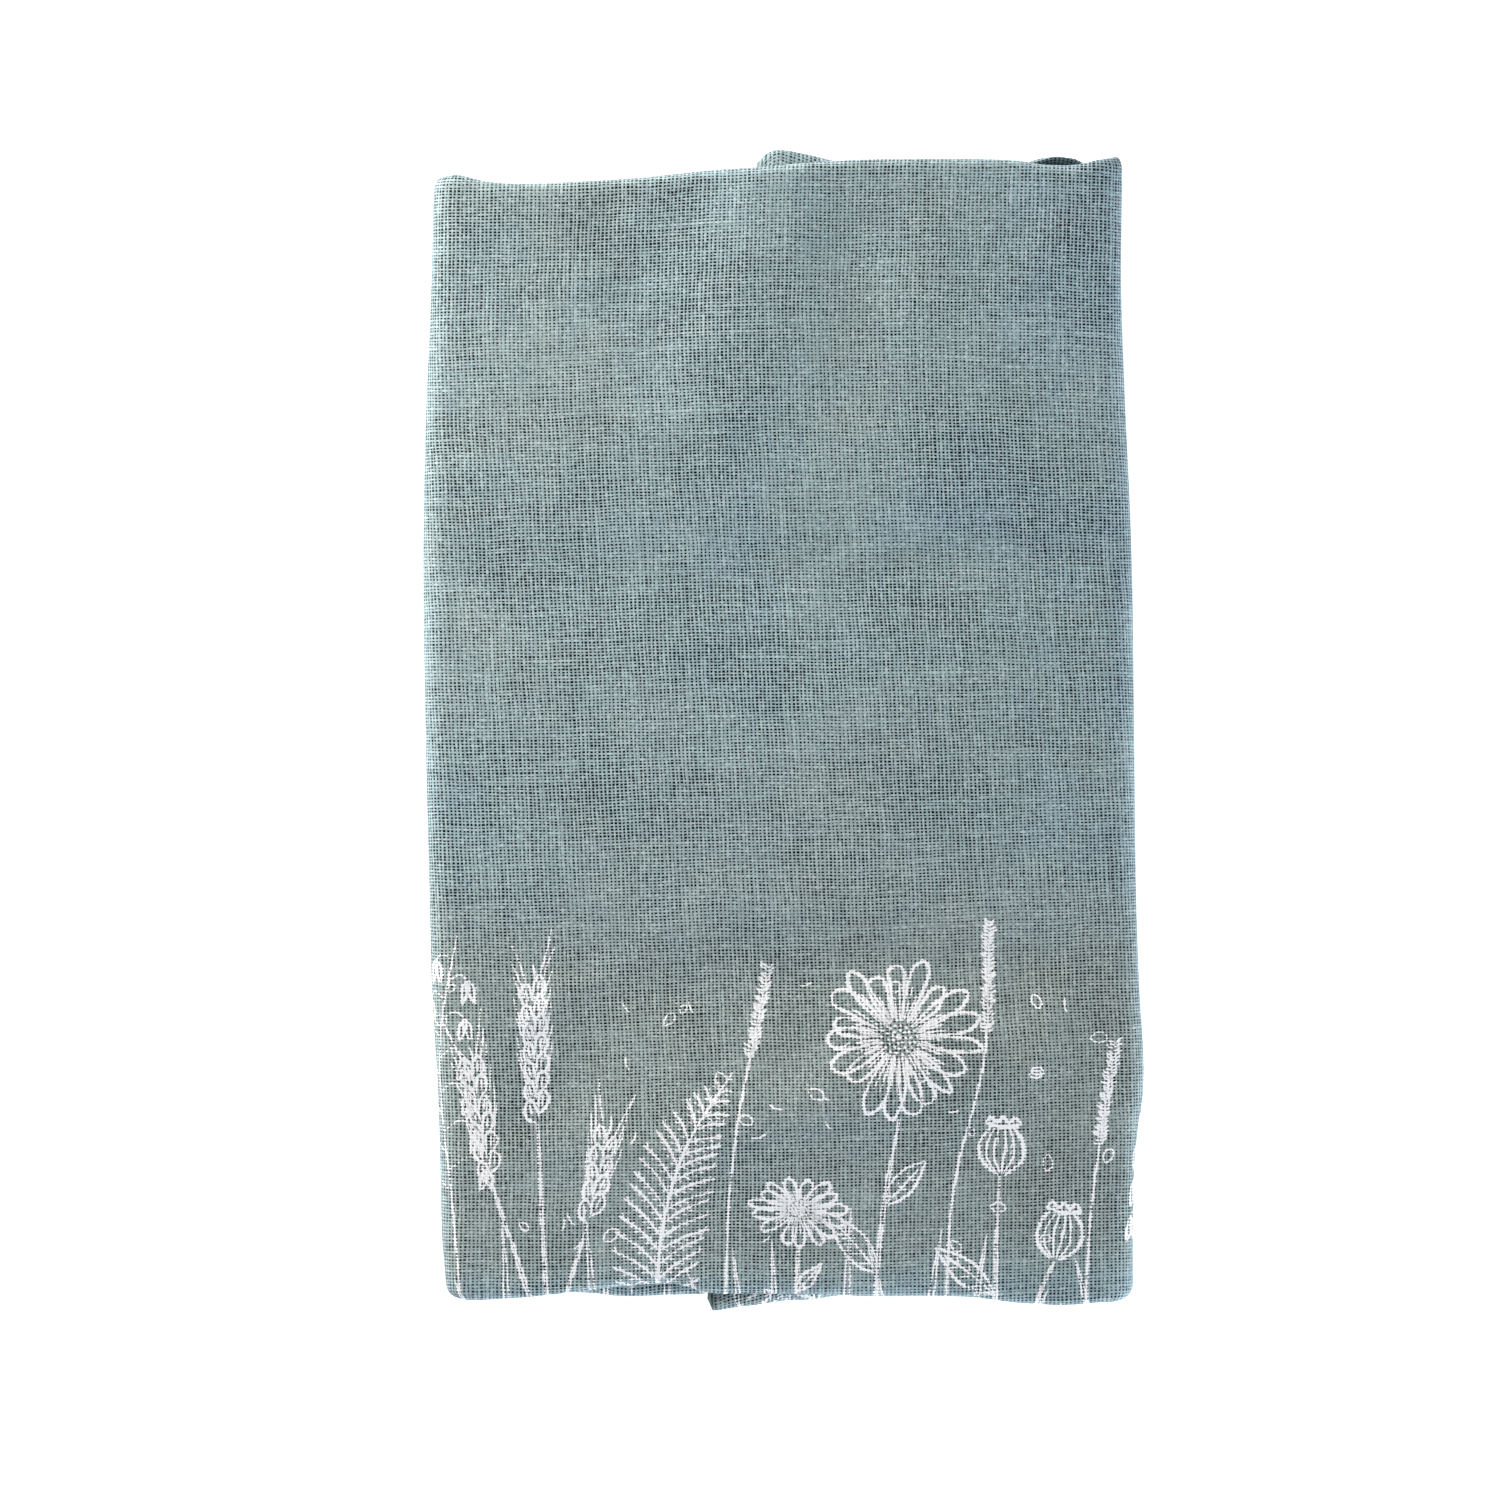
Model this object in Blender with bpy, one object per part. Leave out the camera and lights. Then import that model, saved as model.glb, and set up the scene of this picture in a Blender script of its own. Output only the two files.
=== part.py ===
"""A linen bread bag, folded into a flat packet.

The bag is two cut panels. Laid flat it is about 277 mm wide and 455 mm long. Its
bottom and its mouth are turned behind, so that they nearly meet, and then both
sides are folded behind. That leaves eight plies: four in the middle of the packet
and four in the two flaps under it.

Each panel is one folded sheet. A panel starts as a flat grid, whose columns run
across the cloth from the left side seam to the right one, and whose rows run from
the bottom seam round both end folds to the mouth. Every column and row has a place
in the folded packet, and the sheet gets its thickness last.

The packet lies on the ground: +Y is the mouth's end, +Z is up, and the origin is
under its middle.
"""

import math

import bmesh
import bpy

MM = 0.001

# The cloth, and how its plies lie on each other.
CLOTH = 1.0 * MM
PLY_GAP = 0.35 * MM
PITCH = CLOTH + PLY_GAP
PLIES = 8
STACK = (PLIES - 1) * PITCH  # from the middle of the lowest ply to that of the highest
LOWEST = CLOTH / 2

# The end folds turn through half the plies, the front outside the back.
FRONT_TURN = 1.5 * PITCH
BACK_TURN = 0.5 * PITCH
END_REACH = FRONT_TURN + CLOTH / 2
HALF_LENGTH = 113.5 * MM

# Places behind the middle, as shares of the way from the lower end fold to the upper.
BOTTOM_SEAM = 0.415
MOUTH = 0.425

# The side folds turn round the middle of the whole stack.
SIDE_TURN = STACK / 2
SIDE_REACH = SIDE_TURN + CLOTH / 2

# Grid steps in each stretch of a column or a row.
FLAP_STEPS = 6
TURN_STEPS = 6
MIDDLE_STEPS = 16
FACE_STEPS = 14
FLAP_CROWDING = 1.6  # over 1, a flap's columns crowd towards its side seam

# Side edges of the packet, in millimetres: y, left edge x, right edge x.
SIDE_EDGES = (
    (-114, -67.5, 69.9),
    (-104, -68.3, 69.9),
    (-88, -68.7, 70.2),
    (-72, -69.2, 72.0),
    (-54, -70.3, 71.2),
    (-34, -70.8, 70.5),
    (0, -71.6, 70.1),
    (36, -72.1, 69.6),
    (66, -71.6, 68.3),
    (90, -70.6, 67.5),
    (114, -70.0, 67.8),
)

# End folds of the packet's middle, in millimetres: x, y of the upper end, y of the lower.
MIDDLE_ENDS = (
    (-64.9, 111.3, -113.5),
    (-58.6, 109.8, -113.3),
    (-50.0, 109.5, -112.7),
    (-38.7, 110.0, -111.4),
    (-32.0, 110.4, -110.6),
    (-22.0, 111.3, -110.0),
    (-14.7, 112.1, -111.9),
    (-6.0, 112.6, -112.0),
    (8.3, 113.8, -112.2),
    (16.3, 114.3, -112.6),
    (36.3, 114.4, -112.7),
    (46.3, 114.1, -113.9),
    (54.3, 113.2, -114.4),
    (59.3, 114.2, -114.3),
    (63.3, 115.1, -113.8),
)

# End folds of the left flap: x, y of the upper end, y of the lower.
LEFT_FLAP_ENDS = (
    (-64.9, 109.6, -111.2),
    (-58.6, 109.0, -112.2),
    (-38.7, 109.4, -112.3),
    (-33.0, 109.8, -113.0),
    (-24.8, 110.2, -112.8),
    (-7.7, 111.4, -112.2),
)

# End folds of the right flap, whose corner shows past the middle at both ends.
RIGHT_FLAP_ENDS = (
    (-14.7, 115.2, -115.9),
    (-5.1, 115.6, -114.7),
    (-0.7, 116.5, -113.9),
    (5.3, 115.6, -113.7),
    (11.3, 114.2, -112.8),
    (23.3, 113.2, -112.0),
    (47.3, 114.1, -113.0),
    (55.3, 115.0, -113.0),
    (63.3, 113.9, -111.6),
)

# Side seams of the flaps, which nearly meet under the packet: y, left flap x, right flap x.
SIDE_SEAMS = (
    (-116, -15.6, -14.2),
    (0, -11.3, -9.7),
    (116, -7.0, -5.2),
)

# Soft swells of the packet, in millimetres and degrees:
# x, y, half length, half width, turn of the length from +X, height.
SWELLS = (
    (-8.7, 78, 52, 27, 0, 2.4),
    (3.3, -78, 56, 25, 4, 2.5),
    (-10.7, 97, 14, 7, 74, 0.9),
    (3.3, 94, 16, 5, 96, 0.8),
    (-34.7, 42, 24, 8, -28, 0.8),
    (4.3, -73, 44, 8, 13, 1.0),
    (-55.7, -50, 15, 5, -20, 0.9),
    (47.3, -98, 16, 7, 24, 0.7),
    (43.3, 66, 20, 9, 62, 0.8),
)

# The packet settles on its four corners. Between them it stands a hair off the ground.
CORNER_X = 64 * MM
CORNER_Y = 109 * MM
CORNER_SPREAD = 25 * MM
UNDERSIDE_RISE = 0.3 * MM

LINEN = (0.235, 0.295, 0.305, 1.0)
LINEN_BACK = (0.200, 0.255, 0.262, 1.0)
LINEN_ROUGHNESS = 0.92


def clear_scene():
    """Takes out every object that the scene starts with."""
    for obj in list(bpy.data.objects):
        bpy.data.objects.remove(obj, do_unlink=True)


def read(table, at, column):
    """The table's column at this place in metres, on a smooth curve through its rows."""
    place = at / MM
    rows = [(row[0], row[column]) for row in table]
    if place <= rows[0][0]:
        return rows[0][1] * MM
    if place >= rows[-1][0]:
        return rows[-1][1] * MM
    last = len(rows) - 1
    i = next(k for k in range(last) if place <= rows[k + 1][0])
    (x0, y0), (x1, y1) = rows[i], rows[i + 1]
    before, after = rows[max(i - 1, 0)], rows[min(i + 2, last)]
    slope0 = (y1 - before[1]) / (x1 - before[0])
    slope1 = (after[1] - y0) / (after[0] - x0)
    span = x1 - x0
    t = (place - x0) / span
    start = (1 + 2 * t) * (1 - t) ** 2 * y0 + t * (1 - t) ** 2 * span * slope0
    end = t * t * (3 - 2 * t) * y1 + t * t * (t - 1) * span * slope1
    return (start + end) * MM


def mix(a, b, share):
    return a + (b - a) * share


def swell(x, y):
    """How much higher than a flat stack the packet stands at this place."""
    height = 0.0
    for at_x, at_y, half_length, half_width, turn, rise in SWELLS:
        angle = math.radians(turn)
        dx, dy = x / MM - at_x, y / MM - at_y
        along = (dx * math.cos(angle) + dy * math.sin(angle)) / half_length
        across = (dy * math.cos(angle) - dx * math.sin(angle)) / half_width
        height += rise * math.exp(-(along**2) - across**2)
    return height * MM


def underside(x, y):
    """How high the packet's lowest ply stands at this place."""
    off_x = (abs(x) - CORNER_X) / CORNER_SPREAD
    off_y = (abs(y) - CORNER_Y) / CORNER_SPREAD
    return UNDERSIDE_RISE * (1 - math.exp(-(off_x**2) - off_y**2))


def column_places():
    """Each column's stretch of the cloth, from the left side seam to the right one."""
    flap = [(step / FLAP_STEPS) ** FLAP_CROWDING for step in range(FLAP_STEPS)]
    turn = [math.pi * step / TURN_STEPS for step in range(TURN_STEPS)]
    places = [("left flap", share) for share in flap]
    places += [("left turn", math.pi - angle) for angle in turn]
    places += [("middle", step / MIDDLE_STEPS) for step in range(MIDDLE_STEPS)]
    places += [("right turn", angle) for angle in turn]
    return places + [("right flap", share) for share in [1.0, *reversed(flap)]]


def row_places():
    """Each row's stretch of the cloth, from the bottom seam round to the mouth."""
    turn = [math.pi * step / TURN_STEPS for step in range(TURN_STEPS)]
    face = [step / FACE_STEPS for step in range(FACE_STEPS)]
    seam_part = [BOTTOM_SEAM, *(share for share in reversed(face) if 0 < share < BOTTOM_SEAM)]
    mouth_part = [1.0, *(share for share in reversed(face) if share > MOUTH), MOUTH]
    places = [("behind", share) for share in seam_part]
    places += [("lower end", math.pi - angle) for angle in turn]
    places += [("face", share) for share in face]
    places += [("upper end", angle) for angle in turn]
    return places + [("behind", share) for share in mouth_part]


def place_row(row, turn_radius):
    """(share of the way from the lower end to the upper one, reach past it, depth)."""
    stretch, value = row
    if stretch == "face":
        return value, 0.0, FRONT_TURN - turn_radius
    if stretch == "behind":
        return value, 0.0, FRONT_TURN + turn_radius
    end, side = (0.0, -1) if stretch == "lower end" else (1.0, 1)
    depth = FRONT_TURN - turn_radius * math.cos(value)
    return end, side * turn_radius * math.sin(value), depth


def place_column(column, y):
    """(x before any side turn, the angle of that turn, -1 to the left or 1 to the right)."""
    stretch, value = column
    left = read(SIDE_EDGES, y, 1) + SIDE_REACH
    right = read(SIDE_EDGES, y, 2) - SIDE_REACH
    if stretch == "middle":
        return mix(left, right, value), 0.0, 1
    if stretch == "left flap":
        return mix(read(SIDE_SEAMS, y, 1), left, value), math.pi, -1
    if stretch == "right flap":
        return mix(read(SIDE_SEAMS, y, 2), right, value), math.pi, 1
    return (left, value, -1) if stretch == "left turn" else (right, value, 1)


def fold_point(column, row, turn_radius):
    """Where a point of the flat cloth lies in the folded packet."""
    share, reach, depth = place_row(row, turn_radius)
    start, angle, side = place_column(column, mix(-HALF_LENGTH, HALF_LENGTH, share))
    radius = SIDE_TURN - depth
    x = start + side * radius * math.sin(angle)
    z = LOWEST + SIDE_TURN + radius * math.cos(angle)

    behind = (1 - math.cos(angle)) / 2
    flap_ends = LEFT_FLAP_ENDS if side < 0 else RIGHT_FLAP_ENDS
    upper = mix(read(MIDDLE_ENDS, start, 1), read(flap_ends, start, 1), behind)
    lower = mix(read(MIDDLE_ENDS, start, 2), read(flap_ends, start, 2), behind)
    y = mix(lower + END_REACH, upper - END_REACH, share) + reach

    spread = 1 + swell(x, y) / STACK
    return x, y, LOWEST + underside(x, y) + (z - LOWEST) * spread


def make_linen(name, colour):
    material = bpy.data.materials.new(name)
    material.use_nodes = True
    shader = material.node_tree.nodes["Principled BSDF"]
    shader.inputs["Base Color"].default_value = colour
    shader.inputs["Roughness"].default_value = LINEN_ROUGHNESS
    shader.inputs["Metallic"].default_value = 0.0
    return material


def make_panel(name, turn_radius, material):
    """One panel of the bag: a flat grid, folded point by point and given its thickness."""
    columns, rows = column_places(), row_places()
    sheet = bmesh.new()
    bmesh.ops.create_grid(
        sheet, x_segments=len(columns) - 1, y_segments=len(rows) - 1, size=1.0
    )
    for vert in sheet.verts:
        across = round((vert.co.x + 1) / 2 * (len(columns) - 1))
        along = round((vert.co.y + 1) / 2 * (len(rows) - 1))
        vert.co = fold_point(columns[across], rows[along], turn_radius)
    mesh = bpy.data.meshes.new(name)
    sheet.to_mesh(mesh)
    sheet.free()
    mesh.shade_smooth()
    mesh.materials.append(material)

    panel = bpy.data.objects.new(name, mesh)
    bpy.context.scene.collection.objects.link(panel)
    thickness = panel.modifiers.new("Cloth thickness", "SOLIDIFY")
    thickness.thickness = CLOTH
    thickness.offset = 0.0
    thickness.use_even_offset = True
    return panel


def main():
    clear_scene()
    make_panel("front_panel", FRONT_TURN, make_linen("linen_front", LINEN))
    make_panel("back_panel", BACK_TURN, make_linen("linen_back", LINEN_BACK))


main()
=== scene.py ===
# %% [markdown]
# # A linen bread bag, folded flat
#
# A bread bag is the simplest bag there is: two lengths of linen, seamed down both
# sides and along the bottom. This one has been ironed and folded for a shelf. Its
# bottom and its mouth are turned behind so that they nearly meet, and then both
# sides are folded behind too, which makes a soft packet of eight plies.
#
# Cloth like this could be draped by a simulation, but an ironed packet hardly
# hangs at all: its shape is in its folds. So each panel starts here as a flat cut
# length with its own measurements, and a function folds it as hands would. The
# folds then have exact places, the weave can follow the threads through them, and
# a print can be laid on the flat cloth and be folded along with it.

import math
import random

import bpy
import numpy as np
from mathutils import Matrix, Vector


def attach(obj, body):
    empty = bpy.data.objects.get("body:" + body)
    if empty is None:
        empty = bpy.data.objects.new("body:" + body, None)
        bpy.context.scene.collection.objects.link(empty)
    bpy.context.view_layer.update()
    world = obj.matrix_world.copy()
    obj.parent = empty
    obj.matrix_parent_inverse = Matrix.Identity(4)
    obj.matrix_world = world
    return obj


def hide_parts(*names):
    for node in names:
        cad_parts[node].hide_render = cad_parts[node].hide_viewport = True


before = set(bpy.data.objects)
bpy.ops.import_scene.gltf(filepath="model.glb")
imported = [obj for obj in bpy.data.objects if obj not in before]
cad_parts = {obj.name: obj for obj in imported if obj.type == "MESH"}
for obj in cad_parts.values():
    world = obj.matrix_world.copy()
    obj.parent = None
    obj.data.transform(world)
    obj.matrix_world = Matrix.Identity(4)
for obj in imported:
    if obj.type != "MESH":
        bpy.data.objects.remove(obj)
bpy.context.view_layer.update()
MM = 0.001
print("solids:", sorted(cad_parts))

# %% [markdown]
# ## The measurements of the packet
#
# Everything about the packet is measured in millimetres, with X to the right, Y
# towards the end where the mouth turns behind, and Z up. Folded cloth has two
# kinds of fold here. The end folds turn round a half circle as high as half the
# plies, with the front panel outside the back one. The side folds turn round the
# middle of the whole stack. The edges of a packet are never straight, so short
# tables give their real course, and a smooth curve runs through each table.

# %% Plies and folds
PITCH = 1.35  # from the middle of one ply to the middle of the next
STACK = 7 * PITCH  # from the lowest ply to the highest
LOWEST = 0.5  # height of the lowest ply's middle
LINEN_THICKNESS = 0.6

FRONT_TURN = 1.5 * PITCH  # radius of the end folds
BACK_TURN = 0.5 * PITCH
SIDE_TURN = STACK / 2  # radius of the outermost side fold
END_REACH = FRONT_TURN + LINEN_THICKNESS / 2
SIDE_REACH = SIDE_TURN + LINEN_THICKNESS / 2
HALF_LENGTH = 113.5

BOTTOM_SEAM = 0.415  # how far behind the middle the bottom seam lies, from the lower end
MOUTH = 0.425  # and the mouth

# Side edges: y, left edge x, right edge x.
SIDE_EDGES = (
    (-114, -67.5, 69.9),
    (-104, -68.3, 69.9),
    (-88, -68.7, 70.2),
    (-72, -69.2, 72.0),
    (-54, -70.3, 71.2),
    (-34, -70.8, 70.5),
    (0, -71.6, 70.1),
    (36, -72.1, 69.6),
    (66, -71.6, 68.3),
    (90, -70.6, 67.5),
    (114, -70.0, 67.8),
)

# End folds of the middle: x, y of the upper end, y of the lower.
MIDDLE_ENDS = (
    (-64.9, 111.3, -113.5),
    (-58.6, 109.8, -113.3),
    (-50.0, 109.5, -112.7),
    (-38.7, 110.0, -111.4),
    (-32.0, 110.4, -110.6),
    (-22.0, 111.3, -110.0),
    (-14.7, 112.1, -111.9),
    (-6.0, 112.6, -112.0),
    (8.3, 113.8, -112.2),
    (16.3, 114.3, -112.6),
    (36.3, 114.4, -112.7),
    (46.3, 114.1, -113.9),
    (51.0, 113.3, -114.2),
    (54.6, 113.1, -114.4),
    (58.3, 113.2, -114.3),
    (63.3, 114.4, -113.8),
)

# End folds of the left flap, and of the right flap, whose corner shows at both ends.
LEFT_FLAP_ENDS = (
    (-64.9, 109.6, -111.2),
    (-58.6, 109.0, -112.2),
    (-38.7, 109.4, -112.3),
    (-33.0, 109.8, -113.0),
    (-24.8, 110.2, -112.8),
    (-7.7, 111.4, -112.2),
)
RIGHT_FLAP_ENDS = (
    (-15.1, 113.2, -113.2),
    (-14.5, 113.2, -115.4),
    (-13.7, 113.3, -115.9),
    (-11.3, 113.4, -115.5),
    (-5.3, 113.9, -114.7),
    (-3.8, 115.5, -114.5),
    (-2.2, 116.4, -114.2),
    (-0.4, 116.6, -113.9),
    (5.3, 115.6, -113.7),
    (11.3, 114.2, -112.8),
    (23.3, 113.2, -112.0),
    (47.0, 113.6, -113.0),
    (51.0, 114.7, -113.0),
    (54.3, 115.2, -113.0),
    (58.3, 114.7, -112.6),
    (60.8, 113.7, -112.0),
    (63.3, 113.9, -111.6),
)
UPPER_RIGHT_FLARE = 0.9  # how far that corner stands out past its end folds
CORNER_PULL = (0.2, 0.6)  # how square the lower and the upper corners are pressed, from 0 to 1

# Beside the upper right corner the flap's fold gapes: its plies sink, and its lip stands up.
GAPE_X = 54.6
GAPE_Y = 113.6
GAPE_HALF_LENGTH = 4.5
GAPE_HALF_WIDTH = 1.4
GAPE_SINK = 0.92  # share of their height that its plies lose
LIP_RISE = 4.2
LIP_SHARPNESS = 2.5  # a higher number is a narrower lip

# Side seams of the two flaps, which nearly meet underneath: y, left flap x, right flap x.
SIDE_SEAMS = ((-116, -16.4, -15.1), (0, -11.3, -9.7), (116, -7.0, -5.2))
PLY_DEPTHS = (0, PITCH, 2 * PITCH, 3 * PITCH)  # of the plies of a flap, from the ground up
SEWN_DEPTHS = (0.35, 1.0, 3.05, 3.7)  # where the seam draws front and back together
SEAM_SOFTNESS = 2.5  # how far from a seam the plies part again

# The packet settles on its four corners, a hair off the ground between them.
CORNER_X = 64
CORNER_Y = 109
CORNER_SPREAD = 25
UNDERSIDE_RISE = 0.3


def smooth_step_between(start, end, start_slope, end_slope, span, t):
    """A cubic from start to end, with these slopes, at the share t of the span."""
    rest = 1 - t
    from_start = (1 + 2 * t) * rest**2 * start + t * rest**2 * span * start_slope
    return from_start + t**2 * (3 - 2 * t) * end - t**2 * rest * span * end_slope


def read(table, at, column):
    """The table's column at these places, on a smooth curve through its rows."""
    x, y = np.array(table, float)[:, (0, column)].T
    steps = np.diff(y) / np.diff(x)
    across_two = (y[2:] - y[:-2]) / (x[2:] - x[:-2])
    slope = np.concatenate([steps[:1], across_two, steps[-1:]])
    at = np.clip(at, x[0], x[-1])
    row = np.clip(np.searchsorted(x, at) - 1, 0, len(x) - 2)
    span = x[row + 1] - x[row]
    return smooth_step_between(y[row], y[row + 1], slope[row], slope[row + 1], span, (at - x[row]) / span)


def mix(a, b, share):
    return a + (b - a) * share


print(f"width at the middle: {read(SIDE_EDGES, 0, 2) - read(SIDE_EDGES, 0, 1):.1f} mm")

# %% [markdown]
# ## Creases
#
# Ironed linen isn't flat. Where plies end inside the packet the top swells softly,
# with shallow troughs between the swells, and every fold under it presses through.
# Each crease here is one line in a table: its place, its half length and half
# width, the way it runs, and its height, which is below zero for a trough. A bell
# curve along and across it gives the soft ends that pressed cloth has.

# %% Swells and creases
# x, y, half length, half width, turn of the length from +X in degrees, height
SWELLS = (
    (-8.7, 78, 52, 27, 0, 2.4),
    (3.3, -78, 56, 25, 4, 2.5),
    (-10.7, 97, 14, 7, 74, 0.9),
    (3.3, 94, 16, 5, 96, 0.8),
    (-34.7, 42, 24, 8, -28, 0.8),
    (4.3, -73, 44, 8, 13, 1.0),
    (-55.7, -50, 15, 5, -20, 0.9),
    (47.3, -98, 16, 7, 24, 0.7),
    (43.3, 66, 20, 9, 62, 0.8),
    (-71, 62, 62, 10, 90, -1.6),
    (-70, -70, 45, 8, 90, -0.8),
)
CREASES = (
    (-7, 86, 32, 11, 76, 2.1),
    (-31, 90, 20, 9, -62, -1.2),
    (13, 82, 34, 10, 80, -1.6),
    (20, 34, 56, 8, 2, -3.0),
    (-46, 37, 16, 4, -8, 0.35),
    (16, -46, 52, 9, 1, -2.0),
    (10, -75, 42, 7, 13, 1.5),
    (-48, -56, 9, 2.2, 38, 0.6),
    (-38, -50, 8, 2.0, 30, 0.45),
    (18, -90, 26, 3.5, -9, 0.4),
    (-30, -92, 22, 4, 12, 0.35),
    (52, -62, 20, 3.0, 74, 0.45),
    (-20, 62, 26, 4, 18, 0.4),
    (30, 90, 22, 3.5, -32, 0.5),
    (52, 98, 14, 3, 58, 0.5),
    (-52, 92, 18, 3.5, -64, 0.45),
    (-60, 60, 18, 3, 84, 0.35),
    (10, 58, 30, 5, -10, 0.4),
    (36, -76, 18, 3.5, 32, 0.4),
    (-12, -104, 16, 3, 4, -0.35),
)
PUCKER_SEED = 11
PUCKER_WAVES = 26
PUCKER_LENGTHS = (9, 42)  # shortest and longest wave
PUCKER_HEIGHT = 0.05  # of each wave


def relief(table, x, y):
    """The sum of a table's creases at these places."""
    height = 0.0
    for at_x, at_y, half_length, half_width, turn, rise in table:
        angle = math.radians(turn)
        dx, dy = x - at_x, y - at_y
        along = (dx * math.cos(angle) + dy * math.sin(angle)) / half_length
        across = (dy * math.cos(angle) - dx * math.sin(angle)) / half_width
        height = height + rise * np.exp(-(along**2) - across**2)
    return height


def make_puckers(seed):
    """Random long waves, as (x rate, y rate, phase)."""
    draw = random.Random(seed)
    waves = []
    for _ in range(PUCKER_WAVES):
        way = draw.uniform(0, math.pi)
        rate = 2 * math.pi / draw.uniform(*PUCKER_LENGTHS)
        waves.append((rate * math.cos(way), rate * math.sin(way), draw.uniform(0, 2 * math.pi)))
    return waves


PUCKERS = make_puckers(PUCKER_SEED)


def puckers(x, y):
    """The small unevenness that an iron leaves in linen."""
    return PUCKER_HEIGHT * sum(np.sin(x * rx + y * ry + phase) for rx, ry, phase in PUCKERS)


def underside(x, y):
    """How high the lowest ply stands."""
    off_x = (np.abs(x) - CORNER_X) / CORNER_SPREAD
    off_y = (np.abs(y) - CORNER_Y) / CORNER_SPREAD
    return UNDERSIDE_RISE * (1 - np.exp(-(off_x**2) - off_y**2))


print("swells and creases:", len(SWELLS) + len(CREASES))

# %% [markdown]
# ## Folding flat cloth
#
# A flat panel has two directions. Going up it, a thread first lies behind, turns
# round the lower end fold, crosses the face, turns round the upper end fold and
# lies behind again. Going across, it lies in the left flap, turns round the left
# side fold, crosses the middle, and does the same on the right. So each direction
# needs two numbers: a place between its two folds, and the angle that the cloth
# has turned round one of them, from -pi where it lies behind the first fold, over
# 0 in front, to pi behind the last. One function puts both pairs together.

# %% The fold
def edges_at(share):
    """Where both side folds start, for rows this share of the way up."""
    y = mix(-HALF_LENGTH, HALF_LENGTH, share)
    return read(SIDE_EDGES, y, 1) + SIDE_REACH, read(SIDE_EDGES, y, 2) - SIDE_REACH


def seams_at(share):
    """Where the side seams of both flaps lie."""
    y = mix(-HALF_LENGTH, HALF_LENGTH, share)
    return read(SIDE_SEAMS, y, 1), read(SIDE_SEAMS, y, 2)


def ends_at(start, angle):
    """Where both end folds start, in the middle or in a flap."""
    behind = (1 - np.cos(angle)) / 2
    ends = []
    for column in (1, 2):
        flap = np.where(angle < 0, read(LEFT_FLAP_ENDS, start, column), read(RIGHT_FLAP_ENDS, start, column))
        ends.append(mix(read(MIDDLE_ENDS, start, column), flap, behind))
    flare = np.where(angle > 0, UPPER_RIGHT_FLARE, 0) * np.sin(angle) ** 2
    return ends[1] + END_REACH, ends[0] + flare - END_REACH


def fold(start, angle, share, end_angle, turn):
    """Where points of the cloth lie, in millimetres, on a panel with this radius at its ends."""
    behind = (1 - np.cos(angle)) / 2
    reach = turn * np.sin(end_angle)
    depth = FRONT_TURN - turn * np.cos(end_angle)
    from_seam = (start - np.where(angle < 0, *seams_at(share))) / SEAM_SOFTNESS
    sewn = behind * np.exp(-(from_seam**2))
    depth = mix(depth, np.interp(depth, PLY_DEPTHS, SEWN_DEPTHS), sewn)
    pull = np.where(reach > 0, CORNER_PULL[1], CORNER_PULL[0]) * np.abs(reach) / FRONT_TURN
    radius = SIDE_TURN - depth * (1 - pull * np.sin(angle) ** 2)
    x = start + radius * np.sin(angle)
    y = mix(*ends_at(start, angle), share) + reach
    z = SIDE_TURN + radius * np.cos(angle)
    along_gape = np.exp(-(((x - GAPE_X) / GAPE_HALF_LENGTH) ** 2))
    sink = GAPE_SINK * along_gape * np.exp(-(((y - GAPE_Y) / GAPE_HALF_WIDTH) ** 2))
    lip = LIP_RISE * along_gape * np.clip(reach / FRONT_TURN, 0, 1) ** LIP_SHARPNESS
    z = z * (1 - behind * sink) + behind * lip
    spread = 1 + (relief(SWELLS, x, y) + relief(CREASES, x, y) + puckers(x, y)) / STACK
    z = LOWEST + underside(x, y) + z * spread
    return np.stack(np.broadcast_arrays(x, y, z), axis=-1)


print(f"fold radii: {FRONT_TURN:.2f} and {BACK_TURN:.2f} mm at the ends, {SIDE_TURN:.2f} mm at the sides")

# %% [markdown]
# ## Two panels of linen
#
# Each panel is a flat grid first. The grid is fine where the camera looks and
# coarser in the plies inside. Its columns and rows are folded into place, and a
# Solidify modifier gives it the thickness of linen. Every point also keeps where
# it was on the flat cloth, in millimetres, as its UV: that is what lets the weave
# and the print run round the folds without stretching.

# %% Panels
NEAR_SEAM = 0.12  # shares of a flap's width, from its seam
NEAR_SIDE = 0.74
FRONT_STEPS = (16, 10, 96), (22, 10, 160)  # across: flap, turn, middle; along: behind, turn, face
BACK_STEPS = (8, 6, 30), (12, 6, 50)


def through(stops, counts):
    """(share, angle) of grid places from stop to stop, in so many steps, without the last."""
    places = []
    for first, last, count in zip(stops, stops[1:], counts):
        places += [mix(np.array(first, float), np.array(last, float), step / count) for step in range(count)]
    return places


def column_places(flap, turn, middle):
    near = flap // 2  # extra columns near the side seams, whose corners show, and by the gape
    left, right = -math.pi, math.pi
    places = through([(0, left), (NEAR_SEAM, left), (1, left), (1, 0)], (near, flap, turn))
    stops = [(0, 0), (1, 0), (1, right), (NEAR_SIDE, right), (NEAR_SEAM, right), (0, right)]
    return np.array(places + through(stops, (middle, turn, 2 * near, flap, near + 2)) + stops[-1:])


def row_places(behind, turn, face):
    below, above = -math.pi, math.pi
    stops = [(BOTTOM_SEAM, below), (0, below), (0, 0), (1, 0), (1, above), (MOUTH, above)]
    return np.array(through(stops, (behind, turn, face, turn, behind)) + stops[-1:])


def unwrap(place, angle, low, high, radius):
    """Where a place lay on the flat cloth, when it is folded behind one of two folds."""
    round_high = high + radius * angle + (high - place)
    round_low = low + radius * angle - (place - low)
    return np.where(angle < 0, round_low, np.where(angle > 0, round_high, place))


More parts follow.
